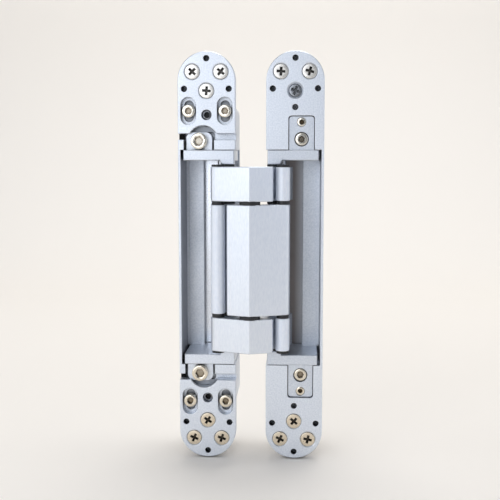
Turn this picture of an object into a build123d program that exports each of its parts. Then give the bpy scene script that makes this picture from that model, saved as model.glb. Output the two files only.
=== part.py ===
from build123d import *
from math import asin, atan2, cos, hypot, sin, sqrt, tan
import os

# Concealed door hinge with three-way adjustment, opened flat to 180 degrees.
# X runs from the frame side to the door side, Y runs into the timber, Z is up along the pivots.
# The origin is the middle of the frame side's face. All sizes are in millimetres.

# Housings
housing_width = 28.0
housing_length = 200.0
side_gap = 14.8
plate_thickness = 5.0
body_depth = 31.5
body_corner = 6.0
back_round = 1.5
wall_thickness = 1.2
floor_thickness = 2.0
body_screw_gap = 3.2
shoulder_height = 5.0
pocket_corner = 1.5
lip_thickness = 1.2
edge_break = 0.3

# Adjustment travel each way, and clearances
height_adjust = 2.5
side_adjust = 1.0
depth_adjust = 1.0
travel_spare = 0.4
slide_gap = 0.15
running_gap = 0.05
press_gap = 0.02
overrun = 1.0

# Pivots on one side: distance from the housing's inner edge, and depth behind its face
arm_pivot = (3.4, 3.4)
link_pivot = (8.3, -3.4)
lever_pivot = (8.0, 10.0)
lever_eye_shift = (1.05, -0.15)
centre_depth = -8.0
ridge_depth = -13.3
arm_pin_radius = 2.0
centre_pin_radius = 2.0
link_pin_radius = 1.75
lever_pin_radius = 1.5
pin_chamfer = 0.3
pin_recess = 0.5

# Arms and levers
outer_arm_height = 16.5
arm_gap = 1.6
knuckle_radius = 3.0
centre_boss_radius = 3.6
barrel_radius = 3.45
barrel_gap = 0.6
arm_edge_chamfer = 1.6
lever_half_thickness = 1.9
lever_end_gap = 0.25
eye_clearance = 1.35
eye_wall = 0.9
washer_radius = 3.0
centre_washer_radius = 5.0
spacer_radius = 2.6

# Carriers, the frames that hold the pivots inside the housings
bar_from_end = 47.2
bar_inset = 0.7
bar_thickness = 5.0
bar_corner = 2.0
boss_radius = 3.35
boss_height = 1.9
boss_gap = 1.1
boss_slope = 0.9
carrier_back_gap = 1.2
rib_thickness = 4.8
rib_width = 7.4
tongue_corner = 3.0

# Frame tongue: it lies under the end plate and is clamped through a sideways slot
frame_tongue_width = 12.6
frame_tongue_from_edge = 17.8
frame_tongue_reach = 8.6
frame_tongue_recess = 2.3
frame_tongue_thickness = 5.0
frame_notch_offset = 2.0
plate_lip = 2.0

# Door tongue: it lies in a pocket of its own outline and moves in depth
door_tongue_width = 12.0
door_tongue_from_edge = 17.1
door_tongue_reach = 16.1
door_tongue_recess = 1.2
door_tongue_thickness = 6.0
door_tongue_gap = 0.35
door_clamp_reach = 5.2
door_set_reach = 13.4

# Fasteners, and their places measured from the end of the housing
sink_radius = 4.1
sink_gap = 0.05
wood_head_radius = 3.7
small_head_radius = 3.0
wood_head_rim = 0.3
wood_shank_radius = 1.5
wood_thread_radius = 2.0
wood_hole_radius = 2.2
wood_screw_length = 25.0
wood_tip_length = 4.0
cross_width = 0.9
cross_span = 4.2
cross_depth = 1.5
pair_screw_spacing = 13.8
pair_screw_from_end = 9.7
centre_screw_from_end = 18.8
cover_hole_radius = 1.5
cover_hole_depth = 4.2
cover_end_hole_from_end = 3.4
cover_side_hole_from_end = 17.9
cover_side_hole_spacing = 21.6
door_blind_hole_radius = 1.5
door_blind_hole_depth = 3.0
door_blind_hole_from_end = 26.7
plate_screw_spacing = 17.7
plate_screw_from_end = 28.4
plate_screw_head_radius = 3.2
plate_screw_head_height = 3.2
plate_screw_radius = 2.0
plate_screw_length = 10.0
plate_screw_socket = 3.0
plate_head_gap = 0.6
plate_slot_gap = 0.3
plate_slot_depth = 3.5
height_screw_from_end = 30.3
height_screw_radius = 2.5
height_screw_point = 1.5
height_screw_socket = 2.5
height_screw_sink = 1.8
clamp_head_radius = 4.0
clamp_head_height = 3.3
clamp_screw_radius = 2.5
clamp_screw_length = 14.0
clamp_screw_socket = 4.0
door_clamp_head_radius = 3.2
door_clamp_head_height = 3.0
door_clamp_screw_radius = 2.0
door_clamp_screw_length = 14.0
door_clamp_socket = 3.0
door_set_radius = 2.25
door_set_socket = 2.0
set_screw_sink = 0.5
socket_depth_share = 0.6

# Places that follow from the sizes above
frame_side = -1
door_side = 1
frame_x = 0.0
mid_x = frame_x + housing_width / 2 + side_gap / 2
door_x = mid_x + housing_width / 2 + side_gap / 2
housing_end = housing_length / 2
body_length = housing_length - 2 * (centre_screw_from_end + wood_thread_radius + body_screw_gap)
bar_outer = housing_end - bar_from_end
bar_inner = bar_outer - bar_thickness
boss_face = bar_inner - boss_height
outer_top = boss_face - boss_gap
outer_bottom = outer_top - outer_arm_height
middle_top = outer_bottom - arm_gap
cavity_top = bar_outer + slide_gap
cavity_depth = body_depth - floor_thickness
carrier_depth = cavity_depth - carrier_back_gap
rib_front = carrier_depth - rib_thickness
bar_length = housing_width - bar_inset - wall_thickness - side_adjust - travel_spare
frame_rib_reach = travel_spare - slide_gap
door_rib_reach = side_adjust + travel_spare - slide_gap
shoulder_top = bar_outer + shoulder_height
plate_edge = shoulder_top + height_adjust + travel_spare
ear_front = plate_thickness + slide_gap
clamp_slot_radius = clamp_screw_radius + slide_gap
frame_tongue_back = frame_tongue_recess + frame_tongue_thickness
frame_pocket_depth = frame_tongue_back + slide_gap
frame_pocket_width = frame_tongue_width + 2 * (side_adjust + slide_gap)
frame_clamp_z = bar_outer + clamp_head_radius + travel_spare
frame_notch_radius = clamp_head_radius + hypot(frame_notch_offset, height_adjust) + slide_gap
door_tongue_back = door_tongue_recess + door_tongue_thickness
door_pocket_depth = door_tongue_back + depth_adjust + slide_gap
door_clamp_z = bar_outer + door_clamp_reach
door_set_z = bar_outer + door_set_reach
plate_slot_travel = 2 * (height_adjust + travel_spare)
eye_hole_radius = lever_pin_radius + eye_clearance
lever_eye = (lever_pivot[0] + lever_eye_shift[0], lever_pivot[1] + lever_eye_shift[1])
pin_half_length = bar_outer - slide_gap
centre_pin_half_length = outer_top - pin_recess
link_pin_half_length = boss_face - pin_recess
arm_length = hypot(side_gap / 2 + link_pivot[0], link_pivot[1] - centre_depth)
arm_end_radius = arm_length - barrel_radius - barrel_gap


def plan(side, from_edge, depth):
    # a point in plan, given from the inner edge of one side's housing
    return (mid_x + side * (side_gap / 2 + from_edge), depth)


def at_depth(depth):
    # a plane parallel to the face, whose sketches extrude into the timber with a negative amount
    return Plane.XZ.offset(-depth)


def both_ends(x, from_end):
    # the same place at the top and the bottom end of a housing
    return [(x, housing_end - from_end), (x, from_end - housing_end)]


def pairs(x, spacing, from_end):
    return both_ends(x - spacing / 2, from_end) + both_ends(x + spacing / 2, from_end)


def cover_holes(x):
    side_holes = pairs(x, cover_side_hole_spacing, cover_side_hole_from_end)
    return side_holes + both_ends(x, cover_end_hole_from_end)


def wood_screw_places(x):
    return pairs(x, pair_screw_spacing, pair_screw_from_end) + both_ends(x, centre_screw_from_end)


def wood_screw(head_radius):
    # a countersunk screw whose shank is thicker, at its thread, behind the plate
    rim_end = sink_radius - sink_gap - head_radius
    top = rim_end - wood_head_rim
    with BuildPart() as screw:
        with BuildSketch(Plane.XY):
            with BuildLine():
                Polyline(
                    (0, top),
                    (head_radius, top),
                    (head_radius, rim_end),
                    (wood_shank_radius, rim_end + head_radius - wood_shank_radius),
                    (wood_shank_radius, plate_thickness),
                    (wood_thread_radius, plate_thickness),
                    (wood_thread_radius, wood_screw_length - wood_tip_length),
                    (0, wood_screw_length),
                    close=True,
                )
            make_face()
        revolve(axis=Axis.Y)
        with BuildSketch(at_depth(top)):
            Rectangle(cross_span, cross_width)
            Rectangle(cross_width, cross_span)
        extrude(amount=-cross_depth, mode=Mode.SUBTRACT)
    return screw.part


def socket_screw(head_radius, head_height, radius, length, socket):
    # a cap screw with a hexagon socket: the top of its head is at depth zero
    with BuildPart() as screw:
        with BuildSketch(at_depth(0)):
            Circle(head_radius)
        extrude(amount=-head_height)
        with BuildSketch(at_depth(head_height)):
            Circle(radius)
        extrude(amount=-length)
        with BuildSketch(at_depth(0)):
            RegularPolygon(socket / 2, 6, major_radius=False)
        extrude(amount=-head_height * socket_depth_share, mode=Mode.SUBTRACT)
        chamfer(screw.edges().filter_by(GeomType.CIRCLE).sort_by(Axis.Y)[0], pin_chamfer)
    return screw.part


def pin(place, radius, half_length):
    with BuildPart() as rod:
        with BuildSketch(Plane.XY.offset(-half_length)):
            with Locations(place):
                Circle(radius)
        extrude(amount=2 * half_length)
        chamfer(rod.edges().filter_by(GeomType.CIRCLE), pin_chamfer)
    return rod.part


def ring(place, outer, inner, bottom, top):
    with BuildPart() as tube:
        with BuildSketch(Plane.XY.offset(bottom)):
            with Locations(place):
                Circle(outer)
                Circle(inner, mode=Mode.SUBTRACT)
        extrude(amount=top - bottom)
    return tube.part


def arm(side, bottom, top, pivot_hole, centre_hole, link_hole):
    # one crossing arm, hinged to the carrier of its own side and to the lever of the other side
    pivot = Vector(*plan(side, *arm_pivot))
    centre = Vector(mid_x, centre_depth)
    ridge = Vector(mid_x, ridge_depth)
    link = Vector(*plan(-side, *link_pivot))
    to_link = link - ridge
    slope = atan2(to_link.Y, abs(to_link.X)) - asin(barrel_radius / to_link.length)
    tangent = link + Vector(-side * sin(slope), -cos(slope)) * barrel_radius
    drop = ridge_depth - centre_depth
    rise = drop * tan(slope)
    spread = 1 + tan(slope) ** 2
    reach = (sqrt(rise**2 - spread * (drop**2 - arm_end_radius**2)) - rise) / spread
    corner = ridge + Vector(side * reach, reach * tan(slope))
    neck_end = centre + (pivot - centre).normalized() * arm_end_radius
    with BuildPart() as body:
        with BuildSketch(Plane.XY.offset(bottom)):
            with Locations(pivot):
                Circle(knuckle_radius)
            with Locations(centre):
                Circle(centre_boss_radius)
            make_hull()
        extrude(amount=top - bottom)
        with BuildSketch(Plane.XY.offset(bottom)):
            with Locations(link):
                Circle(barrel_radius)
            with Locations(centre):
                Circle(centre_boss_radius)
            make_hull()
        extrude(amount=top - bottom)
        with BuildSketch(Plane.XY.offset(bottom)):
            with BuildLine():
                Polyline(corner, ridge, tangent, link, centre, neck_end)
                RadiusArc(neck_end, corner, -side * arm_end_radius)
            make_face()
        extrude(amount=top - bottom)
        corner_edge = body.edges().filter_by(Axis.Z).sort_by_distance((corner.X, corner.Y, top))[0]
        chamfer(corner_edge, arm_edge_chamfer)
        chamfer(body.faces().filter_by(Axis.Z).edges(), edge_break)
        with BuildSketch(Plane.XY.offset(bottom)):
            with Locations(pivot):
                Circle(pivot_hole)
            with Locations(centre):
                Circle(centre_hole)
            with Locations(link):
                Circle(link_hole)
        extrude(amount=top - bottom, mode=Mode.SUBTRACT)
    return body.part


def lever(side, bottom, top):
    # the link from an arm's barrel to the carrier, with a wide eye at the carrier's pin
    link = plan(side, *link_pivot)
    eye = plan(side, *lever_eye)
    with BuildPart() as body:
        with BuildSketch(Plane.XY.offset(bottom)):
            with Locations(link, eye):
                Circle(lever_half_thickness)
            make_hull()
            with Locations(link):
                Circle(barrel_radius)
                Circle(link_pin_radius + running_gap, mode=Mode.SUBTRACT)
            with Locations(eye):
                Circle(eye_hole_radius + eye_wall)
                Circle(eye_hole_radius, mode=Mode.SUBTRACT)
        extrude(amount=top - bottom)
        barrel_rims = body.edges().filter_by(lambda e: e.geom_type == GeomType.CIRCLE)
        barrel_rims = barrel_rims.filter_by(lambda e: abs(e.radius - barrel_radius) < press_gap)
        chamfer(barrel_rims, edge_break)
    return body.part


def carrier_frame(side, rib_reach):
    # two cross bars with pivot bosses, tied by a rib along the back that reaches past their ends
    bar_middle = plan(side, bar_inset + bar_length / 2, carrier_depth / 2)
    rib_edge = bar_inset + bar_length + rib_reach
    rib_span = rib_width + rib_reach
    rib_middle = plan(side, rib_edge - rib_span / 2, (rib_front + carrier_depth) / 2)
    inner_end = plan(side, bar_inset, carrier_depth)
    boss_start = inner_end[0]
    boss_end = plan(side, arm_pivot[0] + boss_radius, 0)[0]
    slope_end = boss_end + side * boss_slope
    with BuildPart() as frame:
        with BuildSketch(Plane.XY.offset(bar_inner)):
            with Locations(bar_middle):
                Rectangle(bar_length, carrier_depth)
        extrude(amount=bar_thickness)
        back_corner = frame.edges().filter_by(Axis.Z).sort_by_distance((*inner_end, bar_inner))[0]
        fillet(back_corner, bar_corner)
        with BuildSketch(at_depth(0)):
            with BuildLine():
                Polyline(
                    (boss_start, bar_inner),
                    (boss_start, boss_face),
                    (boss_end, boss_face),
                    (slope_end, bar_inner),
                    close=True,
                )
            make_face()
        extrude(amount=-(arm_pivot[1] + boss_radius))
        chamfer(frame.faces().sort_by(Axis.Y)[0].edges(), edge_break)
        mirror(about=Plane.XY)
        with BuildSketch(Plane.XY.offset(-bar_inner)):
            with Locations(rib_middle):
                Rectangle(rib_span, carrier_depth - rib_front)
        extrude(amount=2 * bar_inner)
        with BuildSketch(Plane.XY.offset(-bar_outer)):
            with Locations(plan(side, *arm_pivot)):
                Circle(arm_pin_radius + press_gap)
            with Locations(plan(side, *lever_pivot)):
                Circle(lever_pin_radius + press_gap)
        extrude(amount=2 * bar_outer, mode=Mode.SUBTRACT)
    return frame.part


# Frame side, fixed pieces: two end plates screwed to the jamb
clamp_x = plan(frame_side, frame_tongue_from_edge, 0)[0]
notch_x = plan(frame_side, frame_tongue_from_edge - frame_notch_offset, 0)[0]
relief_width = frame_tongue_width + 2 * (side_adjust + travel_spare)
relief_top = bar_outer + frame_tongue_reach + height_adjust + travel_spare
plate_screw_places = pairs(frame_x, plate_screw_spacing, plate_screw_from_end)
height_screw_places = both_ends(frame_x, height_screw_from_end)

with BuildPart() as frame_end_plate_top:
    with BuildSketch(at_depth(0)):
        with Locations((frame_x, 0)):
            SlotOverall(housing_length, housing_width, rotation=90)
        with Locations((frame_x, plate_edge - housing_length / 2)):
            Rectangle(housing_width, housing_length, mode=Mode.SUBTRACT)
        with Locations((notch_x, frame_clamp_z)):
            Circle(frame_notch_radius, mode=Mode.SUBTRACT)
    extrude(amount=-plate_thickness)
    chamfer(frame_end_plate_top.faces().sort_by(Axis.Y)[0].edges(), edge_break)
    with BuildSketch(at_depth(plate_lip)):
        with Locations((clamp_x, relief_top / 2)):
            Rectangle(relief_width, relief_top)
    extrude(amount=-plate_thickness, mode=Mode.SUBTRACT)
    with BuildSketch(at_depth(0)):
        with Locations(*plate_screw_places):
            slot_width = 2 * (plate_screw_head_radius + plate_head_gap)
            SlotOverall(slot_width + plate_slot_travel, slot_width, rotation=90)
    extrude(amount=-plate_slot_depth, mode=Mode.SUBTRACT)
    with BuildSketch(at_depth(0)):
        with Locations(*plate_screw_places):
            shank_slot_width = 2 * (plate_screw_radius + plate_slot_gap)
            SlotOverall(shank_slot_width + plate_slot_travel, shank_slot_width, rotation=90)
        with Locations(*height_screw_places):
            Circle(height_screw_radius + press_gap)
    extrude(amount=-plate_thickness, mode=Mode.SUBTRACT)
    with BuildSketch(at_depth(0)):
        with Locations(*cover_holes(frame_x)):
            Circle(cover_hole_radius)
    extrude(amount=-cover_hole_depth, mode=Mode.SUBTRACT)
    with Locations(at_depth(0)):
        with Locations(*wood_screw_places(frame_x)):
            CounterSinkHole(wood_hole_radius, sink_radius)

with BuildPart() as frame_end_plate_bottom:
    mirror(frame_end_plate_top.part, about=Plane.XY)

wood_screw_piece = wood_screw(wood_head_radius)
with BuildPart() as frame_wood_screws:
    with Locations(*[(x, 0, z) for x, z in wood_screw_places(frame_x)]):
        add(wood_screw_piece)

with BuildPart() as frame_height_screws:
    with BuildSketch(at_depth(height_screw_sink)):
        with Locations(*height_screw_places):
            Circle(height_screw_radius)
    extrude(amount=-(plate_thickness - height_screw_sink))
    with BuildSketch(at_depth(plate_thickness)):
        with Locations(*height_screw_places):
            Circle(height_screw_radius)
    extrude(amount=-height_screw_point, taper=45)
    with BuildSketch(at_depth(height_screw_sink)):
        with Locations(*height_screw_places):
            RegularPolygon(height_screw_socket / 2, 6, major_radius=False)
    extrude(amount=-(plate_thickness - height_screw_sink) * socket_depth_share, mode=Mode.SUBTRACT)

# Frame side, height slide: the housing hangs behind the end plates
frame_clamp_places = [(clamp_x, frame_clamp_z), (clamp_x, -frame_clamp_z)]
frame_pocket_top = bar_outer + frame_tongue_reach + slide_gap
cavity_width = housing_width - wall_thickness + overrun
frame_cavity_x = plan(frame_side, cavity_width / 2 - overrun, 0)[0]
lip_width = side_adjust + 2 * slide_gap
lip_from_edge = housing_width - wall_thickness - lip_width / 2
lip_place = plan(frame_side, lip_from_edge, rib_front - slide_gap - lip_thickness / 2)
lip_half_length = bar_inner - slide_gap

with BuildPart() as frame_housing:
    with BuildSketch(at_depth(0)):
        with Locations((frame_x, 0)):
            Rectangle(housing_width, 2 * shoulder_top)
    extrude(amount=-body_depth)
    chamfer(frame_housing.faces().sort_by(Axis.Y)[0].edges(), edge_break)
    with BuildSketch(at_depth(ear_front)):
        with Locations((frame_x, 0)):
            RectangleRounded(housing_width, body_length, body_corner)
    extrude(amount=ear_front - body_depth)
    fillet(frame_housing.faces().sort_by(Axis.Y)[-1].edges(), back_round)
    with BuildSketch(at_depth(0)):
        with Locations((frame_cavity_x, 0)):
            Rectangle(cavity_width, 2 * cavity_top)
    extrude(amount=-cavity_depth, mode=Mode.SUBTRACT)
    # a lip on the side wall covers the gap beside the carrier's rib
    with BuildSketch(Plane.XY.offset(-lip_half_length)):
        with Locations(lip_place):
            Rectangle(lip_width, lip_thickness)
    extrude(amount=2 * lip_half_length)
    with BuildSketch(at_depth(0)):
        with Locations((clamp_x, 0)):
            RectangleRounded(frame_pocket_width, 2 * frame_pocket_top, pocket_corner)
    extrude(amount=-frame_pocket_depth, mode=Mode.SUBTRACT)
    with BuildSketch(at_depth(0)):
        with Locations(*frame_clamp_places):
            Circle(clamp_screw_radius + press_gap)
    extrude(amount=-(frame_tongue_recess + clamp_screw_length + overrun), mode=Mode.SUBTRACT)
    with BuildSketch(at_depth(ear_front)):
        with Locations(*plate_screw_places):
            Circle(plate_screw_radius + press_gap)
    extrude(amount=-plate_screw_length, mode=Mode.SUBTRACT)
    with BuildSketch(at_depth(ear_front)):
        with Locations(*height_screw_places):
            groove_width = 2 * (height_screw_radius + slide_gap)
            SlotOverall(groove_width + plate_slot_travel, groove_width, rotation=90)
    extrude(amount=-height_screw_point, mode=Mode.SUBTRACT)

plate_screw = socket_screw(
    plate_screw_head_radius,
    plate_screw_head_height,
    plate_screw_radius,
    plate_screw_length,
    plate_screw_socket,
)
plate_screw_top = plate_slot_depth - running_gap - plate_screw_head_height
with BuildPart() as frame_plate_screws:
    with Locations(*[(x, plate_screw_top, z) for x, z in plate_screw_places]):
        add(plate_screw)

clamp_screw = socket_screw(
    clamp_head_radius,
    clamp_head_height,
    clamp_screw_radius,
    clamp_screw_length,
    clamp_screw_socket,
)
clamp_screw_top = frame_tongue_recess - running_gap - clamp_head_height
with BuildPart() as frame_clamp_screws:
    with Locations(*[(x, clamp_screw_top, z) for x, z in frame_clamp_places]):
        add(clamp_screw)

# Frame side, sideways slide: the carrier with its pins
with BuildPart() as frame_carrier:
    add(carrier_frame(frame_side, frame_rib_reach))
    with BuildSketch(at_depth(frame_tongue_recess)):
        with Locations((clamp_x, 0)):
            tongue_top = bar_outer + frame_tongue_reach
            RectangleRounded(frame_tongue_width, 2 * tongue_top, tongue_corner)
            Rectangle(frame_tongue_width, 2 * bar_inner, mode=Mode.SUBTRACT)
    extrude(amount=-frame_tongue_thickness)
    with BuildSketch(at_depth(frame_tongue_recess)):
        with Locations(*frame_clamp_places):
            clamp_slot_length = 2 * (clamp_slot_radius + side_adjust)
            SlotOverall(clamp_slot_length, 2 * clamp_slot_radius)
    extrude(amount=-frame_tongue_thickness, mode=Mode.SUBTRACT)

frame_arm_place = plan(frame_side, *arm_pivot)
frame_arm_pin = pin(frame_arm_place, arm_pin_radius, pin_half_length)
frame_lever_pin = pin(plan(frame_side, *lever_pivot), lever_pin_radius, pin_half_length)
arm_bore = arm_pin_radius + running_gap

with BuildPart() as frame_arm_spacers:
    spacer_bottom = outer_bottom + running_gap
    spacer_top = boss_face - running_gap
    add(ring(frame_arm_place, spacer_radius, arm_bore, spacer_bottom, spacer_top))
    mirror(about=Plane.XY)

with BuildPart() as frame_arm_washers:
    washer_bottom = middle_top + running_gap
    washer_top = outer_bottom - running_gap
    add(ring(frame_arm_place, washer_radius, arm_bore, washer_bottom, washer_top))
    mirror(about=Plane.XY)

# Arms and levers
centre_place = (mid_x, centre_depth)
link_hole = link_pin_radius + press_gap
middle_arm = arm(
    frame_side, -middle_top, middle_top, arm_bore, centre_pin_radius + press_gap, link_hole
)
centre_bore = centre_pin_radius + running_gap
outer_arm_top = arm(door_side, outer_bottom, outer_top, arm_bore, centre_bore, link_hole)
with BuildPart() as outer_arm_bottom:
    mirror(outer_arm_top, about=Plane.XY)

centre_pin = pin(centre_place, centre_pin_radius, centre_pin_half_length)
frame_link_pin = pin(plan(frame_side, *link_pivot), link_pin_radius, link_pin_half_length)
door_link_pin = pin(plan(door_side, *link_pivot), link_pin_radius, link_pin_half_length)

with BuildPart() as centre_washers:
    add(ring(centre_place, centre_washer_radius, centre_bore, washer_bottom, washer_top))
    mirror(about=Plane.XY)

# The link pins carry washers in the gaps between the arms, and at their ends under the bosses
link_bore = link_pin_radius + running_gap
boss_washer_bottom = outer_top + running_gap
boss_washer_top = boss_face - running_gap
with BuildPart() as frame_link_washers:
    lever_top = middle_top - lever_end_gap
    frame_link_place = plan(frame_side, *link_pivot)
    add(ring(frame_link_place, washer_radius, link_bore, lever_top + running_gap, washer_top))
    add(ring(frame_link_place, washer_radius, link_bore, boss_washer_bottom, boss_washer_top))
    mirror(about=Plane.XY)

with BuildPart() as door_link_washers:
    lever_bottom = outer_bottom + lever_end_gap
    door_link_place = plan(door_side, *link_pivot)
    add(ring(door_link_place, washer_radius, link_bore, washer_bottom, lever_bottom - running_gap))
    outer_end = outer_top - lever_end_gap
    add(ring(door_link_place, washer_radius, link_bore, outer_end + running_gap, boss_washer_top))
    mirror(about=Plane.XY)

frame_lever = lever(frame_side, lever_end_gap - middle_top, middle_top - lever_end_gap)
door_lever_top = lever(door_side, outer_bottom + lever_end_gap, outer_top - lever_end_gap)
with BuildPart() as door_lever_bottom:
    mirror(door_lever_top, about=Plane.XY)

# Door side: the carrier with its pins and screws
door_screw_x = plan(door_side, door_tongue_from_edge, 0)[0]
door_clamp_places = [(door_screw_x, door_clamp_z), (door_screw_x, -door_clamp_z)]
door_set_places = [(door_screw_x, door_set_z), (door_screw_x, -door_set_z)]

with BuildPart() as door_carrier:
    add(carrier_frame(door_side, door_rib_reach))
    with BuildSketch(at_depth(door_tongue_recess)):
        with Locations((door_screw_x, 0)):
            tongue_top = bar_outer + door_tongue_reach
            RectangleRounded(door_tongue_width, 2 * tongue_top, pocket_corner)
            Rectangle(door_tongue_width, 2 * bar_inner, mode=Mode.SUBTRACT)
    extrude(amount=-door_tongue_thickness)
    with BuildSketch(at_depth(door_tongue_recess)):
        with Locations(*door_clamp_places):
            Circle(door_clamp_head_radius + plate_slot_gap)
    extrude(amount=-(set_screw_sink + door_clamp_head_height), mode=Mode.SUBTRACT)
    with BuildSketch(at_depth(door_tongue_recess)):
        with Locations(*door_clamp_places):
            Circle(door_clamp_screw_radius + press_gap)
        with Locations(*door_set_places):
            Circle(door_set_radius + press_gap)
    extrude(amount=-door_tongue_thickness, mode=Mode.SUBTRACT)

door_arm_place = plan(door_side, *arm_pivot)
door_arm_pin = pin(door_arm_place, arm_pin_radius, pin_half_length)
door_lever_pin = pin(plan(door_side, *lever_pivot), lever_pin_radius, pin_half_length)
door_arm_spacer = ring(
    door_arm_place, spacer_radius, arm_bore, running_gap - middle_top, middle_top - running_gap
)

with BuildPart() as door_arm_washers:
    add(ring(door_arm_place, washer_radius, arm_bore, washer_bottom, washer_top))
    add(ring(door_arm_place, washer_radius, arm_bore, boss_washer_bottom, boss_washer_top))
    mirror(about=Plane.XY)

door_clamp_screw = socket_screw(
    door_clamp_head_radius,
    door_clamp_head_height,
    door_clamp_screw_radius,
    door_clamp_screw_length,
    door_clamp_socket,
)
door_screw_top = door_tongue_recess + set_screw_sink
with BuildPart() as door_clamp_screws:
    with Locations(*[(x, door_screw_top, z) for x, z in door_clamp_places]):
        add(door_clamp_screw)

with BuildPart() as door_set_screws:
    with BuildSketch(at_depth(door_screw_top)):
        with Locations(*door_set_places):
            Circle(door_set_radius)
            RegularPolygon(door_set_socket / 2, 6, major_radius=False, mode=Mode.SUBTRACT)
    extrude(amount=-door_tongue_thickness * socket_depth_share)
    with BuildSketch(at_depth(door_screw_top + door_tongue_thickness * socket_depth_share)):
        with Locations(*door_set_places):
            Circle(door_set_radius)
    extrude(amount=-(door_tongue_thickness * (1 - socket_depth_share) - set_screw_sink))

# Door side, depth slide: the housing with its own screw flanges
door_cavity_x = plan(door_side, cavity_width / 2 - overrun, 0)[0]
door_pocket_top = bar_outer + door_tongue_reach + door_tongue_gap

with BuildPart() as door_housing:
    with BuildSketch(at_depth(0)):
        with Locations((door_x, 0)):
            SlotOverall(housing_length, housing_width, rotation=90)
    extrude(amount=-plate_thickness)
    chamfer(door_housing.faces().sort_by(Axis.Y)[0].edges(), edge_break)
    with BuildSketch(at_depth(plate_thickness)):
        with Locations((door_x, 0)):
            RectangleRounded(housing_width, body_length, body_corner)
    extrude(amount=plate_thickness - body_depth)
    fillet(door_housing.faces().sort_by(Axis.Y)[-1].edges(), back_round)
    with BuildSketch(at_depth(0)):
        with Locations((door_cavity_x, 0)):
            Rectangle(cavity_width, 2 * cavity_top)
    extrude(amount=-cavity_depth, mode=Mode.SUBTRACT)
    with BuildSketch(at_depth(0)):
        with Locations((door_screw_x, 0)):
            door_pocket_width = door_tongue_width + 2 * door_tongue_gap
            RectangleRounded(door_pocket_width, 2 * door_pocket_top, pocket_corner)
    extrude(amount=-door_pocket_depth, mode=Mode.SUBTRACT)
    door_screw_end = door_screw_top + door_clamp_head_height + door_clamp_screw_length
    with BuildSketch(at_depth(0)):
        with Locations(*door_clamp_places):
            Circle(door_clamp_screw_radius + slide_gap)
    extrude(amount=-(door_screw_end + depth_adjust + overrun), mode=Mode.SUBTRACT)
    with BuildSketch(at_depth(0)):
        with Locations(*cover_holes(door_x)):
            Circle(cover_hole_radius)
    extrude(amount=-cover_hole_depth, mode=Mode.SUBTRACT)
    with BuildSketch(at_depth(0)):
        with Locations(*both_ends(door_x, door_blind_hole_from_end)):
            Circle(door_blind_hole_radius)
    extrude(amount=-door_blind_hole_depth, mode=Mode.SUBTRACT)
    with Locations(at_depth(0)):
        with Locations(*wood_screw_places(door_x)):
            CounterSinkHole(wood_hole_radius, sink_radius)

# The screw in the middle of the door side's upper flange has a smaller head, which sits deeper
small_screw_place = both_ends(door_x, centre_screw_from_end)[0]
door_screw_places = wood_screw_places(door_x)
door_screw_places.remove(small_screw_place)
with BuildPart() as door_wood_screws:
    with Locations(*[(x, 0, z) for x, z in door_screw_places]):
        add(wood_screw_piece)
    with Locations((small_screw_place[0], 0, small_screw_place[1])):
        add(wood_screw(small_head_radius))

pieces = {
    "frame_end_plate_top": frame_end_plate_top.part,
    "frame_end_plate_bottom": frame_end_plate_bottom.part,
    "frame_wood_screws": frame_wood_screws.part,
    "frame_height_screws": frame_height_screws.part,
    "frame_housing": frame_housing.part,
    "frame_plate_screws": frame_plate_screws.part,
    "frame_clamp_screws": frame_clamp_screws.part,
    "frame_carrier": frame_carrier.part,
    "frame_arm_pin": frame_arm_pin,
    "frame_lever_pin": frame_lever_pin,
    "frame_arm_spacers": frame_arm_spacers.part,
    "frame_arm_washers": frame_arm_washers.part,
    "middle_arm": middle_arm,
    "outer_arm_top": outer_arm_top,
    "outer_arm_bottom": outer_arm_bottom.part,
    "centre_pin": centre_pin,
    "centre_washers": centre_washers.part,
    "frame_link_pin": frame_link_pin,
    "door_link_pin": door_link_pin,
    "frame_link_washers": frame_link_washers.part,
    "door_link_washers": door_link_washers.part,
    "frame_lever": frame_lever,
    "door_lever_top": door_lever_top,
    "door_lever_bottom": door_lever_bottom.part,
    "door_carrier": door_carrier.part,
    "door_arm_pin": door_arm_pin,
    "door_lever_pin": door_lever_pin,
    "door_arm_spacer": door_arm_spacer,
    "door_arm_washers": door_arm_washers.part,
    "door_clamp_screws": door_clamp_screws.part,
    "door_set_screws": door_set_screws.part,
    "door_housing": door_housing.part,
    "door_wood_screws": door_wood_screws.part,
}

os.makedirs("parts", exist_ok=True)
for name, piece in pieces.items():
    piece.label = name
    export_step(piece, f"parts/{name}.step")
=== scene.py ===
import bpy
import math
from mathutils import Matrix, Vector


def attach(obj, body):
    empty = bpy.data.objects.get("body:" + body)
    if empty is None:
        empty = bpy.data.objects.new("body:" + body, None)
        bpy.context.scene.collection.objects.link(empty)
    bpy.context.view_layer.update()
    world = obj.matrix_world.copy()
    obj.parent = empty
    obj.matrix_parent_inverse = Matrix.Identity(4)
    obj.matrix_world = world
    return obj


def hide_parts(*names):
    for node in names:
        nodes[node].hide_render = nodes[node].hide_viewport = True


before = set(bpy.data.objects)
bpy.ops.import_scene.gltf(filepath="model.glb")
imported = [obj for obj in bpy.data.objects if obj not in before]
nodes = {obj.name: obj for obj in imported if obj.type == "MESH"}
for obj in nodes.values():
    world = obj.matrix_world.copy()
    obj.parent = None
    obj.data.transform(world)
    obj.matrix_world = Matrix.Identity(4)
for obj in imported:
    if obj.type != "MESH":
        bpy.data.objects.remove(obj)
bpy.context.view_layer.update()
mm = 0.001
print("frame loaded:", len(nodes), "nodes")


def linearColour(hexText):
    # the sRGB curve, from screen values to linear light
    values = [int(hexText[i:i + 2], 16) / 255 for i in (1, 3, 5)]
    return [v / 12.92 if v <= 0.04045 else ((v + 0.055) / 1.055) ** 2.4 for v in values] + [1.0]


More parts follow.
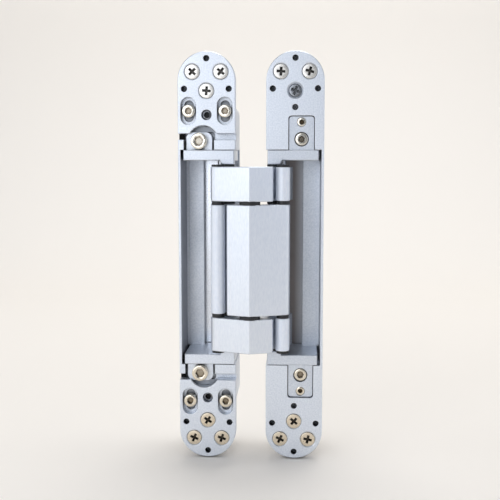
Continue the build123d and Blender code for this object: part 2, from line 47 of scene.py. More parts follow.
def perMm(size):
    return 1 / (size * mm)  # texture scale that gives features of this many millimetres


def addNode(tree, kind, inputs=None, **settings):
    node = tree.nodes.new(kind)
    for name, value in settings.items():
        setattr(node, name, value)
    for name, value in (inputs or {}).items():
        if isinstance(value, bpy.types.NodeSocket):
            tree.links.new(value, node.inputs[name])
        else:
            node.inputs[name].default_value = value
    return node


def newMaterial(name):
    material = bpy.data.materials.new(name)
    material.use_nodes = True
    material.node_tree.nodes.clear()
    return material, material.node_tree


# die-cast zinc under a satin silver lacquer: bluish white, a fine sparkle, and painted shade that darkens
# its holes, slots and gaps
castingLook = {
    "pale": "#eaeff7",
    "deep": "#dae1eb",
    "recessShade": "#0e0e10",
    "edge": "#f7f9fb",
    "metallic": 0.8,
    "flakeMm": 0.7,  # real flakes are under 0.1 mm, drawn coarser so that they show
    "flakeLength": 1.0,
    "cloudMm": 22,
    "roughness": (0.36, 0.46),
    "recessMm": 3.5,  # walls within this reach make a place a recess
    "recessAt": 0.42,  # how open a place is where its painted shade ends
    "recessShare": 0.99,
    "edgeMm": 0.35,
}

# extruded aluminium, blasted and anodised: smoother than the castings, with faint lines along its length
armLook = {
    "pale": "#eaeff6",
    "deep": "#e2e8f1",
    # the recess colour is painted shade, darkening the gaps between arms, levers and barrels
    "recessShade": "#232428",
    "edge": "#fafbfd",
    "metallic": 0.85,
    "flakeMm": 0.6,  # blasting grain is about 0.1 mm, drawn coarser so that it shows
    "flakeLength": 4.0,
    "cloudMm": 30,
    "roughness": (0.35, 0.42),
    "recessMm": 2.2,
    "recessAt": 0.6,
    "recessShare": 0.9,
    "edgeMm": 0.35,
}

# a zone is where another colour shows: from, to and how softly it begins, in millimetres along each axis
# the levers come from the tumbling drum: their barrels shine softly all round, and their shanks behind the
# barrels are painted darker as shade
leverLook = {
    **armLook, "pale": "#f1f6fe", "deep": "#e8effa", "metallic": 0.25, "roughness": (0.42, 0.5),
    "recessShare": 0.15,
    "zones": [{"colour": "#989ca4", "rough": 0.6, "Y": (4, 40, 3.5)}],
}

# the door side's carrier has the castings' finish painted a shade darker all over, a painted shade
doorCarrierLook = {**castingLook, "pale": "#dfe4ec", "deep": "#cfd6e0"}

cavityFloor = {"Y": (28.8, 29.8, 0.3), "Z": (-60, 60, 1)}
# painted shade: the faces behind the end plates, seen through the notches, are painted grey, and less of the
# painted recess shade gathers there
pocketShade = {"colour": "#a2a6ad", "rough": 0.45, "paintedShade": 0.45, "X": (-13.8, 13.8, 0.1), "Y": (5.0, 5.6, 0.3)}
# a painted shadow: the slot on the outer side of each tongue is painted black
slotShadow = {"colour": "#121214", "rough": 0.6, "X": (-13.9, -11.2, 0.1), "Y": (5.0, 5.4, 0.2)}
# the bottom of the frame housing's cavity is painted brighter, a painted pool of light, and smoother than
# the lacquer, and the inside of its long wall is painted darker, a painted shade
frameHousingLook = {**castingLook, "zones": [
    {**cavityFloor, "colour": "#f2f6fd", "rough": 0.25, "X": (-13.5, 13.5, 0.1)},
    {"colour": "#b4b8c0", "rough": 0.6, "X": (-12.9, -12.7, 0.05), "Y": (1.5, 28.5, 1.0), "Z": (-60, 60, 1)},
    {**pocketShade, "Z": (61.4, 90, 0.4)},
    {**pocketShade, "Z": (-90, -61.4, 0.4)},
    {**slotShadow, "Z": (57.9, 61.0, 0.1)},
    {**slotShadow, "Z": (-61.0, -57.9, 0.1)},
]}
# the door housing's cavity floor behind the levers is painted dull and brownish, a painted shadow
doorHousingLook = {**castingLook, "zones": [
    {**cavityFloor, "colour": "#938d8b", "rough": 0.5, "X": (36.0, 42.5, 6.7)},
]}

# what all the silver finishes share
silverCoat = {
    "flakeDetail": 2.0,
    "sparkle": (0.32, 0.68),  # flake noise that gives the deep and the pale colour
    "cloudDetail": 3.0,
    "cloud": (0.3, 0.7),  # cloud noise that gives the smoothest and the roughest coat
    "wearAndSheen": (0.995, 0.9),  # cosine of an edge's turn where the lightening, part polish and part painted highlight, begins and where it is full
    "wearAndSheenShare": 0.6,
    "shadeFrom": 0.22,  # how open a place is where the painted shade is thickest
    "faceMm": (5.5, 9),  # depths between which the painted shade thins out
    "behindFace": 0.4,  # the share of painted shade left behind that
    "grainStrength": 0.1,
    "grainMm": 0.03,
    "edgeSamples": 6,
    "recessSamples": 12,
}


def inZone(tree, axes, zone):
    share = 1.0
    for axis in [name for name in "XYZ" if name in zone]:
        low, high, soft = zone[axis]
        rise = addNode(tree, "ShaderNodeMapRange", {
            "Value": axes.outputs[axis], "From Min": (low - soft) * mm, "From Max": low * mm})
        fall = addNode(tree, "ShaderNodeMapRange", {
            "Value": axes.outputs[axis], "From Min": high * mm, "From Max": (high + soft) * mm,
            "To Min": 1.0, "To Max": 0.0})
        both = addNode(tree, "ShaderNodeMath", operation="MULTIPLY", inputs={
            0: rise.outputs["Result"], 1: fall.outputs["Result"]})
        share = addNode(tree, "ShaderNodeMath", operation="MULTIPLY", inputs={
            0: both.outputs["Value"], 1: share}).outputs["Value"]
    return share


def silverFinish(name, look):
    material, tree = newMaterial(name)
    place = addNode(tree, "ShaderNodeTexCoord").outputs["Object"]
    axes = addNode(tree, "ShaderNodeSeparateXYZ", {"Vector": place})
    drawn = addNode(tree, "ShaderNodeMapping", {
        "Vector": place, "Scale": (1, 1, 1 / look["flakeLength"])})
    flake = addNode(tree, "ShaderNodeTexNoise", {
        "Vector": drawn.outputs["Vector"], "Scale": perMm(look["flakeMm"]),
        "Detail": silverCoat["flakeDetail"]})
    cloud = addNode(tree, "ShaderNodeTexNoise", {
        "Vector": place, "Scale": perMm(look["cloudMm"]), "Detail": silverCoat["cloudDetail"]})
    low, high = silverCoat["sparkle"]
    sparkle = addNode(tree, "ShaderNodeMapRange", {
        "Value": flake.outputs["Fac"], "From Min": low, "From Max": high})
    coat = addNode(tree, "ShaderNodeMix", data_type="RGBA", inputs={
        "Factor": sparkle.outputs["Result"],
        "A": linearColour(look["deep"]), "B": linearColour(look["pale"])})
    # edges lightened: partly polish from handling, partly a painted highlight
    rounded = addNode(tree, "ShaderNodeBevel", {
        "Radius": look["edgeMm"] * mm}, samples=silverCoat["edgeSamples"])
    flat = addNode(tree, "ShaderNodeNewGeometry")
    turned = addNode(tree, "ShaderNodeVectorMath", operation="DOT_PRODUCT", inputs={
        0: rounded.outputs["Normal"], 1: flat.outputs["Normal"]})
    begin, full = silverCoat["wearAndSheen"]
    wearAndSheen = addNode(tree, "ShaderNodeMapRange", {
        "Value": turned.outputs["Value"], "From Min": begin, "From Max": full,
        "To Max": silverCoat["wearAndSheenShare"]})
    surfaceColour = addNode(tree, "ShaderNodeMix", data_type="RGBA", inputs={
        "Factor": wearAndSheen.outputs["Result"], "A": coat.outputs["Result"],
        "B": linearColour(look["edge"])})
    low, high = silverCoat["cloud"]
    smooth, dull = look["roughness"]
    rough = addNode(tree, "ShaderNodeMapRange", {
        "Value": cloud.outputs["Fac"], "From Min": low, "From Max": high,
        "To Min": smooth, "To Max": dull})
    shadeLeft = 1.0
    for zone in look.get("zones", []):
        share = inZone(tree, axes, zone)
        surfaceColour = addNode(tree, "ShaderNodeMix", data_type="RGBA", inputs={
            "Factor": share, "A": surfaceColour.outputs["Result"], "B": linearColour(zone["colour"])})
        rough = addNode(tree, "ShaderNodeMapRange", {
            "Value": share, "To Min": rough.outputs["Result"], "To Max": zone["rough"]})
        shadeLeft = addNode(tree, "ShaderNodeMapRange", {
            "Value": share, "To Min": shadeLeft, "To Max": zone.get("paintedShade", 1.0)}).outputs["Result"]
    # painted shade in holes, slots and gaps, thinner behind the face than near it
    openness = addNode(tree, "ShaderNodeAmbientOcclusion", {
        "Distance": look["recessMm"] * mm}, samples=silverCoat["recessSamples"])
    paintedShade = addNode(tree, "ShaderNodeMapRange", {
        "Value": openness.outputs["AO"], "From Min": silverCoat["shadeFrom"], "From Max": look["recessAt"],
        "To Min": look["recessShare"], "To Max": 0.0})
    near, deep = silverCoat["faceMm"]
    nearFace = addNode(tree, "ShaderNodeMapRange", {
        "Value": axes.outputs["Y"], "From Min": near * mm, "From Max": deep * mm,
        "To Min": 1.0, "To Max": silverCoat["behindFace"]})
    spread = addNode(tree, "ShaderNodeMath", operation="MULTIPLY", inputs={
        0: paintedShade.outputs["Result"], 1: nearFace.outputs["Result"]})
    shadeAmount = addNode(tree, "ShaderNodeMath", operation="MULTIPLY", inputs={
        0: spread.outputs["Value"], 1: shadeLeft})
    colour = addNode(tree, "ShaderNodeMix", data_type="RGBA", inputs={
        "Factor": shadeAmount.outputs["Value"], "A": surfaceColour.outputs["Result"],
        "B": linearColour(look["recessShade"])})
    grain = addNode(tree, "ShaderNodeBump", {
        "Height": flake.outputs["Fac"], "Strength": silverCoat["grainStrength"],
        "Distance": silverCoat["grainMm"] * mm, "Normal": rounded.outputs["Normal"]})
    shader = addNode(tree, "ShaderNodeBsdfPrincipled", {
        "Base Color": colour.outputs["Result"], "Metallic": look["metallic"],
        "Roughness": rough.outputs["Result"], "Normal": grain.outputs["Normal"]})
    addNode(tree, "ShaderNodeOutputMaterial", {"Surface": shader.outputs["BSDF"]})
    return material


# nickel-plated steel cap screws: bright, hardly tinted, the sockets painted brown, a painted shade and
# reflection
nickelLook = {
    "pale": "#f4f0e6", "deep": "#e6dfd0", "recessShade": "#54442e",
    "roughness": (0.13, 0.24), "markMm": 1.2, "recessMm": 3.0, "recessFrom": 0.36, "recessAt": 0.92}
# nickel-plated wood screws: duller, with small scuffs from the driver, and painted shade in the cross
woodScrewLook = {
    "pale": "#f0eeea", "deep": "#dfdbd4", "recessShade": "#1d1a17",
    "roughness": (0.25, 0.36), "markMm": 0.9, "recessMm": 2.2, "recessFrom": 0.62, "recessAt": 0.95}
# the screws of the lower end are tinted warm, a painted warm reflection
warmReflectionNickelLook = {**nickelLook, "pale": "#f2e9d9", "deep": "#e2d7c3"}
warmReflectionScrewLook = {**woodScrewLook, "pale": "#eee3d0", "deep": "#dccdb5"}
# zinc-plated steel: the small screw, grey with a soft shine, and painted shade in its cross
zincLook = {
    "pale": "#a4a7ac", "deep": "#85888d", "recessShade": "#0f0f10",
    "roughness": (0.18, 0.32), "markMm": 0.8, "recessMm": 2.2, "recessFrom": 0.15, "recessAt": 0.9}
# oil-blackened steel: the height screws, dark with a sharp glint, the sockets painted black as shade
blackenedLook = {
    "pale": "#8a8b8f", "deep": "#56575a", "recessShade": "#040404",
    "roughness": (0.1, 0.16), "markMm": 0.8, "recessMm": 2.2, "recessFrom": 0.5, "recessAt": 0.9}
# ground steel pins: grey, with an even soft shine, and painted shade in their corners
pinLook = {
    "pale": "#c6c8cc", "deep": "#aeb1b6", "recessShade": "#2e2f31",
    "roughness": (0.2, 0.32), "markMm": 0.5, "recessMm": 1.0, "recessFrom": 0.15, "recessAt": 0.5}

# what all the bare and plated steels share
platedCoat = {
    "markDetail": 4.0,
    "markRoughness": 0.6,
    "mark": (0.3, 0.7),  # mark noise that gives the smoothest and the roughest plating
    "recessShare": 0.95,
    "recessSamples": 8,
    "scuffStrength": 0.06,
    "scuffMm": 0.05,
}


def platedFinish(name, look):
    material, tree = newMaterial(name)
    place = addNode(tree, "ShaderNodeTexCoord").outputs["Object"]
    mark = addNode(tree, "ShaderNodeTexNoise", {
        "Vector": place, "Scale": perMm(look["markMm"]),
        "Detail": platedCoat["markDetail"], "Roughness": platedCoat["markRoughness"]})
    plating = addNode(tree, "ShaderNodeMix", data_type="RGBA", inputs={
        "Factor": mark.outputs["Fac"], "A": linearColour(look["deep"]), "B": linearColour(look["pale"])})
    # painted shade: sockets, crosses and corners darken towards the recess colour by how closed in they are
    openness = addNode(tree, "ShaderNodeAmbientOcclusion", {
        "Distance": look["recessMm"] * mm}, samples=platedCoat["recessSamples"], only_local=True)
    paintedShade = addNode(tree, "ShaderNodeMapRange", {
        "Value": openness.outputs["AO"], "From Min": look["recessFrom"], "From Max": look["recessAt"],
        "To Min": platedCoat["recessShare"], "To Max": 0.0})
    colour = addNode(tree, "ShaderNodeMix", data_type="RGBA", inputs={
        "Factor": paintedShade.outputs["Result"], "A": plating.outputs["Result"],
        "B": linearColour(look["recessShade"])})
    low, high = platedCoat["mark"]
    smooth, dull = look["roughness"]
    rough = addNode(tree, "ShaderNodeMapRange", {
        "Value": mark.outputs["Fac"], "From Min": low, "From Max": high,
        "To Min": smooth, "To Max": dull})
    scuff = addNode(tree, "ShaderNodeBump", {
        "Height": mark.outputs["Fac"], "Strength": platedCoat["scuffStrength"],
        "Distance": platedCoat["scuffMm"] * mm})
    shader = addNode(tree, "ShaderNodeBsdfPrincipled", {
        "Base Color": colour.outputs["Result"], "Metallic": 1.0,
        "Roughness": rough.outputs["Result"], "Normal": scuff.outputs["Normal"]})
    addNode(tree, "ShaderNodeOutputMaterial", {"Surface": shader.outputs["BSDF"]})
    return material


# moulded black acetal for the washers and sleeves: near black, slightly waxy
acetalLook = {
    "pale": "#2b2b2d", "deep": "#19191b", "mottleMm": 1.5, "mottleDetail": 2.0,
    "roughness": (0.38, 0.52), "ior": 1.48}


def acetalFinish():
    material, tree = newMaterial("moulded black acetal")
    place = addNode(tree, "ShaderNodeTexCoord").outputs["Object"]
    mottle = addNode(tree, "ShaderNodeTexNoise", {
        "Vector": place, "Scale": perMm(acetalLook["mottleMm"]), "Detail": acetalLook["mottleDetail"]})
    colour = addNode(tree, "ShaderNodeMix", data_type="RGBA", inputs={
        "Factor": mottle.outputs["Fac"],
        "A": linearColour(acetalLook["deep"]), "B": linearColour(acetalLook["pale"])})
    smooth, dull = acetalLook["roughness"]
    rough = addNode(tree, "ShaderNodeMapRange", {
        "Value": mottle.outputs["Fac"], "To Min": smooth, "To Max": dull})
    shader = addNode(tree, "ShaderNodeBsdfPrincipled", {
        "Base Color": colour.outputs["Result"], "Roughness": rough.outputs["Result"],
        "IOR": acetalLook["ior"]})
    addNode(tree, "ShaderNodeOutputMaterial", {"Surface": shader.outputs["BSDF"]})
    return material


satinZinc = silverFinish("satin lacquered die-cast zinc", castingLook)
shadedCarrierZinc = silverFinish("satin lacquered zinc with painted shade", doorCarrierLook)
litAndShadedFrameZinc = silverFinish("die-cast zinc with painted light and shade in its cavity", frameHousingLook)
shadowedFloorZinc = silverFinish("die-cast zinc with a painted shadow on its cavity floor", doorHousingLook)
satinAluminium = silverFinish("blasted anodised aluminium", armLook)
tumbledAluminium = silverFinish("tumbled anodised aluminium", leverLook)
brightNickel = platedFinish("bright nickel-plated steel", nickelLook)
dullNickel = platedFinish("dull nickel-plated steel", woodScrewLook)
warmReflectionNickel = platedFinish("nickel-plated steel with a painted warm reflection", warmReflectionNickelLook)
warmReflectionDullNickel = platedFinish("dull nickel-plated steel with a painted warm reflection", warmReflectionScrewLook)
greyZinc = platedFinish("zinc-plated steel", zincLook)
blackenedSteel = platedFinish("oil-blackened steel", blackenedLook)
groundSteel = platedFinish("ground steel", pinLook)
blackAcetal = acetalFinish()

for name, node in nodes.items():
    if "washer" in name or "spacer" in name:
        finish = blackAcetal
    elif "pin" in name:
        finish = groundSteel
    elif "screw" in name:
        finish = brightNickel
    elif name == "door_carrier":
        finish = shadedCarrierZinc
    elif name == "door_housing":
        finish = shadowedFloorZinc
    elif name == "frame_housing":
        finish = litAndShadedFrameZinc
    elif "carrier" in name or "housing" in name or "plate" in name:
        finish = satinZinc
    elif "lever" in name:
        finish = tumbledAluminium
    else:
        finish = satinAluminium
    node.data.materials.clear()
    node.data.materials.append(finish)
print("finishes on", len(nodes), "nodes")

facing = (math.pi / 2, 0, 0)  # turns a primitive's axis from Z to Y, in line with the screws
smoothAngle = math.radians(35)  # edges sharper than this stay crisp


def onlySelect(piece):
    bpy.ops.object.select_all(action="DESELECT")
    piece.select_set(True)
    bpy.context.view_layer.objects.active = piece


def coatAndSmooth(piece, finish):
    onlySelect(piece)
    bpy.ops.object.shade_smooth_by_angle(angle=smoothAngle)
    piece.data.materials.clear()
    piece.data.materials.append(finish)


def turnedRod(name, rings, segments):
    # rings are (radius, depth) in millimetres, from the head down to the tip
    bpy.ops.object.select_all(action="DESELECT")
    radius, depth = rings[0]
    bpy.ops.mesh.primitive_circle_add(
        vertices=segments, radius=radius * mm, fill_type="NGON",
        location=(0, depth * mm, 0), rotation=facing)
    rod = bpy.context.object
    rod.name = name
    bpy.ops.object.transform_apply(location=True, rotation=True, scale=True)
    bpy.ops.object.mode_set(mode="EDIT")
    bpy.ops.mesh.select_all(action="SELECT")
    for nextRadius, nextDepth in rings[1:]:
        step = (nextDepth - depth) * mm
        bpy.ops.mesh.extrude_region_move(TRANSFORM_OT_translate={"value": (0, step, 0)})
        grow = nextRadius / radius
        bpy.ops.transform.resize(value=(grow, 1, grow), center_override=(0, nextDepth * mm, 0))
        radius, depth = nextRadius, nextDepth
    bpy.ops.mesh.select_all(action="SELECT")
    bpy.ops.mesh.normals_make_consistent(inside=False)
    bpy.ops.object.mode_set(mode="OBJECT")
    return rod


def carve(piece, cutter):
    onlySelect(piece)
    cut = piece.modifiers.new("cut", "BOOLEAN")
    cut.operation = "DIFFERENCE"
    cut.solver = "EXACT"
    cut.object = cutter
    bpy.ops.object.modifier_apply(modifier="cut")
    bpy.data.objects.remove(cutter)


def crossWing(span, width, top, depth, turn):
    # one blade of the driver, narrower towards its tip
    tip = 0.55
    spread = 2 / (1 + tip)  # the blade has its full size where it meets the head
    bpy.ops.object.select_all(action="DESELECT")
    bpy.ops.mesh.primitive_cube_add(size=1, location=(0, top * mm, 0), rotation=(0, turn, 0))
    wing = bpy.context.object
    wing.scale = (span * spread * mm, 2 * depth * mm, width * spread * mm)
    bpy.ops.object.mode_set(mode="EDIT")
    bpy.ops.mesh.select_all(action="DESELECT")
    bpy.ops.object.mode_set(mode="OBJECT")
    for vertex in wing.data.vertices:
        vertex.select = vertex.co.y > 0
    bpy.ops.object.mode_set(mode="EDIT")
    bpy.ops.transform.resize(value=(tip, 1, tip), center_override=(0, (top + depth) * mm, 0))
    bpy.ops.object.mode_set(mode="OBJECT")
    bpy.ops.object.transform_apply(location=True, rotation=True, scale=True)
    return wing


def hexKey(acrossFlats, top, depth):
    bpy.ops.object.select_all(action="DESELECT")
    bpy.ops.mesh.primitive_cylinder_add(
        vertices=6, radius=acrossFlats / math.sqrt(3) * mm, depth=2 * depth * mm,
        location=(0, top * mm, 0), rotation=facing)
    return bpy.context.object


def coneMouth(radius, top, depth):
    bpy.ops.object.select_all(action="DESELECT")
    bpy.ops.mesh.primitive_cone_add(
        vertices=48, radius1=0, radius2=2 * radius * mm, depth=2 * depth * mm,
        location=(0, top * mm, 0), rotation=facing)
    return bpy.context.object


def threadRidge(coreRadius, threadRadius, start, pitch, turns, tipStart, tipEnd):
    # a small triangle swept round the shank, thinning out towards the tip
    rooted = 1.15  # the ridge starts a little inside the core
    thinnest = 0.1
    height = (threadRadius - coreRadius) * rooted
    bpy.ops.object.select_all(action="DESELECT")
    bpy.ops.mesh.primitive_circle_add(
        vertices=3, radius=height * 2 / 3 * mm, fill_type="NOTHING",
        location=((threadRadius - height * 2 / 3) * mm, start * mm, 0),
        rotation=(0, 0, -math.pi / 2))
    ridge = bpy.context.object
    bpy.ops.object.transform_apply(location=True, rotation=True, scale=True)
    sweep = ridge.modifiers.new("sweep", "SCREW")
    sweep.axis = "Y"
    sweep.screw_offset = pitch * mm
    sweep.iterations = turns
    sweep.steps = 20
    sweep.render_steps = 20
    bpy.ops.object.modifier_apply(modifier="sweep")
    for vertex in ridge.data.vertices:
        depth = vertex.co.y / mm
        if depth > tipStart:
            thin = max(thinnest, (tipEnd - depth) / (tipEnd - tipStart))
            vertex.co.x *= thin
            vertex.co.z *= thin
    bpy.ops.object.mode_set(mode="EDIT")
    bpy.ops.mesh.select_all(action="SELECT")
    bpy.ops.mesh.fill_holes(sides=3)
    bpy.ops.mesh.select_all(action="SELECT")
    bpy.ops.mesh.normals_make_consistent(inside=False)
    bpy.ops.object.mode_set(mode="OBJECT")
    return ridge


def fitCopies(master, node, body, places, lowerEndMaterial):
    # places are (x, depth, z, turn in degrees), in millimetres
    for number, (x, depth, z, turn) in enumerate(places, 1):
        onlySelect(master)
        bpy.ops.object.duplicate(linked=False)
        copy = bpy.context.object
        copy.name = f"{node[:-1]}_{number}"
        copy.rotation_euler = (0, math.radians(turn), 0)
        copy.location = (x * mm, depth * mm, z * mm)
        bpy.ops.object.transform_apply(location=True, rotation=True, scale=True)
        # copies at the lower end take the lower-end material; for the nickel screws that is a painted warm
        # reflection
        if z < 0:
            copy.data.materials[0] = lowerEndMaterial
        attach(copy, body)
        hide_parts(node)


# the middles of the two sides, and of the tongue screws on the door side
frameX, doorX, doorTongueX = 0.0, 42.8, 45.9

woodScrew = {
    "headRadius": 3.55, "smallHeadRadius": 3.0, "sinkRadius": 4.05,
    "crown": 0.3,  # how far the head stands above its rim
    "rounding": [(0.3, 0), (0.1, 0.04), (0, 0.14)],  # steps of the head's edge, how far in and how far down
    "neckRadius": 1.5, "neckTo": 5.0, "coreRadius": 1.35, "coreFrom": 5.4, "threadRadius": 2.0,
    "threadFrom": 5.6, "pitch": 1.7, "turns": 11, "tipFrom": 20.5, "tipRadius": 0.08, "length": 25.0,
    "crossSpan": 4.2, "crossWidth": 1.25, "crossDepth": 1.9, "mouthRadius": 1.0, "mouthDepth": 1.2,
    "segments": 40,
    "pairSide": 6.9, "pairZ": 90.3, "centreZ": 81.2,  # the pair at each end, and the one between them
    "smallTurn": 20,
}


def makeWoodScrew(name, headRadius, finish):
    size = woodScrew
    rim = size["sinkRadius"] - headRadius
    top = rim - size["crown"]
    neckFrom = rim + headRadius - size["neckRadius"]
    head = [(headRadius - inset, top + drop) for inset, drop in size["rounding"]]
    screw = turnedRod(name, head + [
        (headRadius, rim), (size["neckRadius"], neckFrom), (size["neckRadius"], size["neckTo"]),
        (size["coreRadius"], size["coreFrom"]), (size["coreRadius"], size["tipFrom"]),
        (size["tipRadius"], size["length"]),
    ], size["segments"])
    for turn in (0, math.pi / 2):
        carve(screw, crossWing(size["crossSpan"], size["crossWidth"], top, size["crossDepth"], turn))
    carve(screw, coneMouth(size["mouthRadius"], top, size["mouthDepth"]))
    ridge = threadRidge(
        size["coreRadius"], size["threadRadius"], size["threadFrom"], size["pitch"],
        size["turns"], size["tipFrom"], size["length"])
    onlySelect(screw)
    ridge.select_set(True)
    bpy.ops.object.join()
    coatAndSmooth(screw, finish)
    return screw


pairSide, pairZ, centreZ = woodScrew["pairSide"], woodScrew["pairZ"], woodScrew["centreZ"]
screwMaster = makeWoodScrew("woodScrewMaster", woodScrew["headRadius"], dullNickel)
fitCopies(screwMaster, "frame_wood_screws", "frame_plates", [
    (frameX - pairSide, 0, pairZ, 44), (frameX + pairSide, 0, pairZ, 38), (frameX, 0, centreZ, 5),
    (frameX, 0, -centreZ, 33), (frameX - pairSide, 0, -pairZ, 22), (frameX + pairSide, 0, -pairZ, 18),
], warmReflectionDullNickel)
fitCopies(screwMaster, "door_wood_screws", "door_housing", [
    (doorX - pairSide, 0, pairZ, 4), (doorX + pairSide, 0, pairZ, 14), (doorX, 0, -centreZ, 40),
    (doorX - pairSide, 0, -pairZ, 26), (doorX + pairSide, 0, -pairZ, 12),
], warmReflectionDullNickel)
smallMaster = makeWoodScrew("smallScrewMaster", woodScrew["smallHeadRadius"], greyZinc)
onlySelect(smallMaster)
smallMaster.name = "door_wood_screw_6"
smallMaster.rotation_euler = (0, math.radians(woodScrew["smallTurn"]), 0)
smallMaster.location = (doorX * mm, 0, centreZ * mm)
bpy.ops.object.transform_apply(location=True, rotation=True, scale=True)
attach(smallMaster, "door_housing")
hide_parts("door_wood_screws")
bpy.data.objects.remove(screwMaster)
print("wood screws in place")

slotSide = 8.85  # the height slots, from the middle of the frame side
capShape = {
    "rounding": [(0.75, 0), (0.4, 0.05), (0.15, 0.18), (0.03, 0.4), (0, 0.7)],
    "tipBevel": 0.4, "socketShare": 0.6, "mouthRim": 0.12, "mouthDepth": 1.6, "segments": 48,
}
capScrews = [
    {"node": "frame_plate_screws", "body": "frame_housing", "headRadius": 3.2, "headHeight": 3.2,
     "radius": 2.0, "length": 10.0, "socket": 3.0,
     "places": [(frameX - slotSide, 0.25, 71.6, 10), (frameX + slotSide, 0.25, 71.6, 25),
                (frameX - slotSide, 0.25, -71.6, 5), (frameX + slotSide, 0.25, -71.6, 18)]},
    {"node": "frame_clamp_screws", "body": "frame_housing", "headRadius": 4.0, "headHeight": 3.3,
     "radius": 2.5, "length": 14.0, "socket": 4.0,
     "places": [(-3.8, -1.05, 57.2, 15), (-3.8, -1.05, -57.2, 28)]},
    {"node": "door_clamp_screws", "body": "door_carrier", "headRadius": 3.2, "headHeight": 3.0,
     "radius": 2.0, "length": 14.0, "socket": 3.0,
     "places": [(doorTongueX, 1.7, 58.0, 8), (doorTongueX, 1.7, -58.0, 22)]},
]
for cap in capScrews:
    head, shank, high, long = cap["headRadius"], cap["radius"], cap["headHeight"], cap["length"]
    crown = [(head - inset, drop) for inset, drop in capShape["rounding"]]
    master = turnedRod("capMaster", crown + [
        (head, high), (shank, high), (shank, high + long - capShape["tipBevel"]),
        (shank - capShape["tipBevel"], high + long),
    ], capShape["segments"])
    corner = cap["socket"] / math.sqrt(3)
    carve(master, hexKey(cap["socket"], 0, high * capShape["socketShare"]))
    carve(master, coneMouth(corner + capShape["mouthRim"], 0, capShape["mouthDepth"]))
    coatAndSmooth(master, brightNickel)
    fitCopies(master, cap["node"], cap["body"], cap["places"], warmReflectionNickel)
    bpy.data.objects.remove(master)
print("socket screws in place")

grubShape = {
    "rounding": [(0.4, 0), (0.12, 0.1), (0, 0.4)], "mouthRim": 0.1, "mouthDepth": 1.4, "segments": 40,
}
setScrews = [
    {"node": "frame_height_screws", "body": "frame_plates", "radius": 2.5, "end": 4.7, "point": 1.5,
     "socket": 2.5, "deep": 1.9, "finish": blackenedSteel, "lowerEndMaterial": blackenedSteel,
     "places": [(frameX, 1.8, 69.7, 12), (frameX, 1.8, -69.7, 20)]},
    {"node": "door_set_screws", "body": "door_carrier", "radius": 2.25, "end": 5.5, "point": 0.4,
     "socket": 2.0, "deep": 3.0, "finish": brightNickel, "lowerEndMaterial": warmReflectionNickel,
     "places": [(doorTongueX, 1.7, 66.2, 9), (doorTongueX, 1.7, -66.2, 24)]},
]
for grub in setScrews:
    radius, end, point = grub["radius"], grub["end"], grub["point"]
    crown = [(radius - inset, drop) for inset, drop in grubShape["rounding"]]
    master = turnedRod("grubMaster", crown + [
        (radius, end - point), (radius - point, end),
    ], grubShape["segments"])
    corner = grub["socket"] / math.sqrt(3)
    carve(master, hexKey(grub["socket"], 0, grub["deep"]))
    carve(master, coneMouth(corner + grubShape["mouthRim"], 0, grubShape["mouthDepth"]))
    coatAndSmooth(master, grub["finish"])
    fitCopies(master, grub["node"], grub["body"], grub["places"], grub["lowerEndMaterial"])
    bpy.data.objects.remove(master)
print("set screws in place")

# rounded lugs on the ends of the frame's housing close the height slots from behind
lug = {
    "radius": 3.9, "front": 5.2, "back": 12.0, "middle": 75.6, "foot": 73.8,
    "segments": 48, "soft": 0.5, "softSteps": 3,
}
bpy.ops.object.select_all(action="DESELECT")
bpy.ops.mesh.primitive_cylinder_add(
    vertices=lug["segments"], radius=lug["radius"] * mm, depth=(lug["back"] - lug["front"]) * mm,
    location=(0, (lug["front"] + lug["back"]) / 2 * mm, lug["middle"] * mm), rotation=facing)
lugMaster = bpy.context.object
lugMaster.name = "lugMaster"
bpy.ops.object.transform_apply(location=True, rotation=True, scale=True)
bpy.ops.object.mode_set(mode="EDIT")
bpy.ops.mesh.select_all(action="SELECT")
bpy.ops.mesh.bisect(
    plane_co=(0, 0, lug["middle"] * mm), plane_no=(0, 0, 1), use_fill=True, clear_inner=True)
bpy.ops.mesh.extrude_region_move(
    TRANSFORM_OT_translate={"value": (0, 0, (lug["foot"] - lug["middle"]) * mm)})
bpy.ops.mesh.select_all(action="SELECT")
bpy.ops.mesh.normals_make_consistent(inside=False)
bpy.ops.object.mode_set(mode="OBJECT")
soften = lugMaster.modifiers.new("soften", "BEVEL")
soften.width = lug["soft"] * mm
soften.segments = lug["softSteps"]
soften.limit_method = "ANGLE"
bpy.ops.object.modifier_apply(modifier="soften")
coatAndSmooth(lugMaster, litAndShadedFrameZinc)
lugPlaces = [(-1, 0), (1, 0), (-1, 180), (1, 180)]  # which side, and turned over for the lower end
for number, (side, turn) in enumerate(lugPlaces, 1):
    onlySelect(lugMaster)
    bpy.ops.object.duplicate(linked=False)
    copy = bpy.context.object
    copy.name = f"frame_housing_lug_{number}"
    copy.rotation_euler = (0, math.radians(turn), 0)
    copy.location = ((frameX + side * slotSide) * mm, 0, 0)
    bpy.ops.object.transform_apply(location=True, rotation=True, scale=True)
    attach(copy, "frame_housing")
bpy.data.objects.remove(lugMaster)
print("lugs in place")

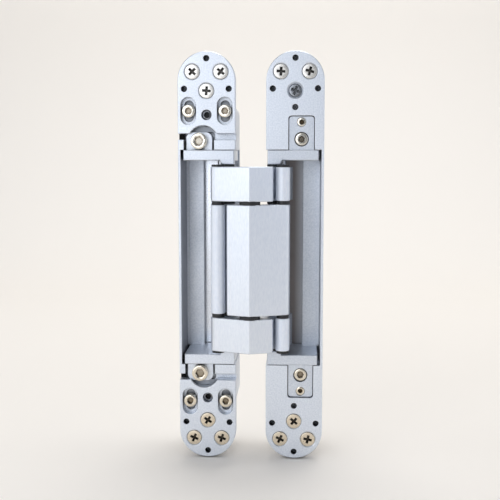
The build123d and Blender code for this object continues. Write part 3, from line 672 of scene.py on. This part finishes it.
# a pale studio sweep, in metres: the floor runs up into a wall behind the hinge
sweepSize = {"floor": -0.1003, "half": 2.0, "back": 0.9, "high": 1.8, "round": 0.35, "roundSteps": 16}
bpy.ops.object.select_all(action="DESELECT")
bpy.ops.mesh.primitive_plane_add(size=1, location=(0, 0, sweepSize["floor"]))
sweep = bpy.context.object
sweep.name = "studioSweep"
sweep.scale = (2 * sweepSize["half"], 2 * sweepSize["half"], 1)
sweep.location.y = sweepSize["back"] - sweepSize["half"]
bpy.ops.object.transform_apply(location=True, rotation=True, scale=True)
backLine = sweepSize["back"] - 0.01  # only the back edge lies beyond this
for edge in sweep.data.edges:
    edge.select = all(sweep.data.vertices[v].co.y > backLine for v in edge.vertices)
for vertex in sweep.data.vertices:
    vertex.select = vertex.co.y > backLine
for face in sweep.data.polygons:
    face.select = False
bpy.ops.object.mode_set(mode="EDIT")
bpy.ops.mesh.select_mode(type="EDGE")
bpy.ops.mesh.extrude_edges_move(TRANSFORM_OT_translate={"value": (0, 0, sweepSize["high"])})
bpy.ops.object.mode_set(mode="OBJECT")
bend = sweep.modifiers.new("bend", "BEVEL")
bend.width = sweepSize["round"]
bend.segments = sweepSize["roundSteps"]
bend.limit_method = "ANGLE"
bpy.ops.object.modifier_apply(modifier="bend")
bpy.ops.object.shade_smooth()
# studio paper: a warm white, matt, with a faint fibre
paperLook = {
    "colour": "#f4efe8", "roughness": 0.9, "fibreMm": 4, "fibreDetail": 3.0,
    "bumpStrength": 0.02, "bumpMm": 0.1}
paper, tree = newMaterial("matt studio paper")
place = addNode(tree, "ShaderNodeTexCoord").outputs["Object"]
fibre = addNode(tree, "ShaderNodeTexNoise", {
    "Vector": place, "Scale": perMm(paperLook["fibreMm"]), "Detail": paperLook["fibreDetail"]})
bump = addNode(tree, "ShaderNodeBump", {
    "Height": fibre.outputs["Fac"], "Strength": paperLook["bumpStrength"],
    "Distance": paperLook["bumpMm"] * mm})
shader = addNode(tree, "ShaderNodeBsdfPrincipled", {
    "Base Color": linearColour(paperLook["colour"]), "Roughness": paperLook["roughness"],
    "Normal": bump.outputs["Normal"]})
addNode(tree, "ShaderNodeOutputMaterial", {"Surface": shader.outputs["BSDF"]})
sweep.data.materials.append(paper)

# soft light: a wide box in front on the left, weak ones at both sides, and one on the wall behind
boxes = [
    {"name": "keyBox", "place": (-0.48, -1.0, 0.2), "aim": (0.02, 0, 0), "size": 1.0, "watts": 6.1,
     "colour": "#f4f8ff"},
    {"name": "leftBox", "place": (-0.95, -0.15, 0.2), "aim": (0.02, 0, 0), "size": 0.6, "watts": 1.4,
     "colour": "#f4f8ff"},
    {"name": "rightBox", "place": (0.8, -0.65, 0.2), "aim": (0.02, 0, 0), "size": 0.7, "watts": 1.1,
     "colour": "#e6eeff"},
    {"name": "edgeBox", "place": (0.9, 0.05, 0.15), "aim": (0.02, 0, 0), "size": 0.5, "watts": 0.8,
     "colour": "#f4f6ff"},
    {"name": "wallBox", "place": (0.1, 0.3, 1.2), "aim": (0.02, 0.7, 0.1), "size": 0.8, "watts": 10.0,
     "colour": "#ffffff"},
]
for box in boxes:
    bpy.ops.object.select_all(action="DESELECT")
    bpy.ops.object.light_add(type="AREA", location=box["place"])
    lamp = bpy.context.object
    lamp.name = box["name"]
    lamp.data.shape = "SQUARE"
    lamp.data.size = box["size"]
    lamp.data.energy = box["watts"]
    lamp.data.color = linearColour(box["colour"])[:3]
    lamp.rotation_euler = (lamp.location - Vector(box["aim"])).to_track_quat("Z", "Y").to_euler()

roomGlow = {"colour": "#eef2f8", "strength": 0.28}
world = bpy.data.worlds.new("studio glow")
bpy.context.scene.world = world
world.use_nodes = True
world.node_tree.nodes.clear()
glow = addNode(world.node_tree, "ShaderNodeBackground", {
    "Color": linearColour(roomGlow["colour"]), "Strength": roomGlow["strength"]})
addNode(world.node_tree, "ShaderNodeOutputWorld", {"Surface": glow.outputs["Background"]})

# the camera stands a little above and to the right of the hinge
cameraSet = {
    "place": (45.5, -433.3, 47.9), "down": 0.1002, "left": 0.0564,
    "lens": 64.29, "sensor": 36, "nearest": 0.01}
bpy.ops.object.camera_add(location=[v * mm for v in cameraSet["place"]])
camera = bpy.context.object
camera.rotation_euler = (math.pi / 2 - cameraSet["down"], 0, cameraSet["left"])
camera.data.lens = cameraSet["lens"]
camera.data.sensor_width = cameraSet["sensor"]
camera.data.clip_start = cameraSet["nearest"]
bpy.context.scene.camera = camera
bpy.context.scene.view_settings.view_transform = "Standard"
print("stage, light and camera set")
